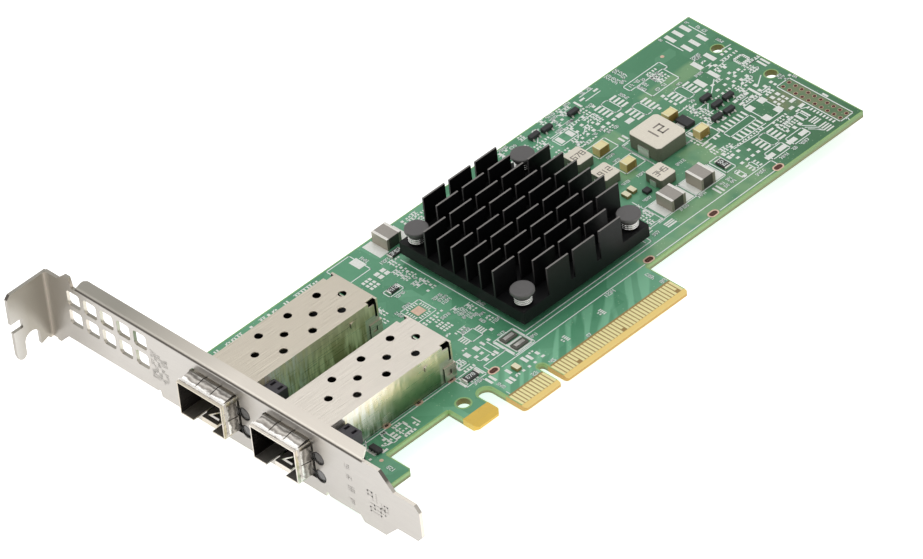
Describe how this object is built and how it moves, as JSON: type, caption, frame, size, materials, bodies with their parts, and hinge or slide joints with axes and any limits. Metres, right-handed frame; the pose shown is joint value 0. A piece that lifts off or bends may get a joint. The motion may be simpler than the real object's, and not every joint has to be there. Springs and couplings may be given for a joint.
{
  "type": "network interface card",
  "caption": "Low-profile network card with a full-height slot bracket, side-by-side transceiver cages, a finned black heatsink and a notched gold contact edge.",
  "frame": {"origin": "on the board's mid-plane at the outer edge of the contact tongue, in line with the middle of its keying notch", "axes": "+X from the bracket to the far end of the board, +Y from the contacts up the board towards the bracket's screw tab, +Z out of the component side"},
  "size_m": [0.1791, 0.12, 0.0217],
  "materials": {
    "board_laminate": "satin solder mask over glass-fibre laminate",
    "gold_plating": "polished gold plate",
    "bracket_steel": "satin bright nickel plate",
    "cage_steel": "satin nickel plate",
    "spring_steel": "bright nickel plate",
    "connector_plastic": "matte black",
    "contact_gold": "gold plate",
    "holder_plastic": "matte dark grey",
    "clear_plastic": "clear",
    "black_anodise": "matte black anodised",
    "pin_plastic": "matte dark grey",
    "spring_wire": "bright drawn wire",
    "chip_black": "matte black moulding",
    "pad_grey": "matte",
    "ferrite": "matte pressed ferrite",
    "tin_plate": "bright tin plate",
    "grey_ceramic": "matte",
    "tan_ceramic": "matte",
    "resistor_black": "gloss black over ceramic"
  },
  "bodies": {
    "root": {"circuit_board": "board_laminate", "edge_contacts_component_side": "gold_plating", "edge_contacts_solder_side": "gold_plating", "ground_tab_plating": "gold_plating", "bracket": "bracket_steel", "bracket_standoffs": "spring_steel", "bracket_screws": "spring_steel", "port_cage_shell_1": "cage_steel", "port_cage_floor_1": "cage_steel", "port_spring_fingers_1": "spring_steel", "port_connector_1": "connector_plastic", "port_connector_contacts_1": "contact_gold", "light_pipe_holder_1": "holder_plastic", "light_pipes_1": "clear_plastic", "port_cage_shell_2": "cage_steel", "port_cage_floor_2": "cage_steel", "port_spring_fingers_2": "spring_steel", "port_connector_2": "connector_plastic", "port_connector_contacts_2": "contact_gold", "light_pipe_holder_2": "holder_plastic", "light_pipes_2": "clear_plastic", "heatsink": "black_anodise", "heatsink_pins": "pin_plastic", "heatsink_springs": "spring_wire", "heatsink_clips": "spring_steel", "controller_chip": "chip_black", "thermal_pad": "pad_grey", "large_inductor_body": "ferrite", "large_inductor_terminals": "tin_plate", "small_inductor_bodies": "ferrite", "small_inductor_terminals": "tin_plate", "large_capacitor_bodies": "grey_ceramic", "large_capacitor_ends": "tin_plate", "tan_capacitor_bodies": "tan_ceramic", "tan_capacitor_ends": "tin_plate", "transistor_bodies": "chip_black", "transistor_leads": "tin_plate", "power_diode": "chip_black", "power_diode_leads": "tin_plate", "resistor_bodies": "resistor_black", "resistor_ends": "tin_plate", "shunt_bodies": "resistor_black", "shunt_plates": "tin_plate", "small_chip_capacitors": "tan_ceramic", "small_driver_chip": "chip_black"}
  },
  "joints": []
}
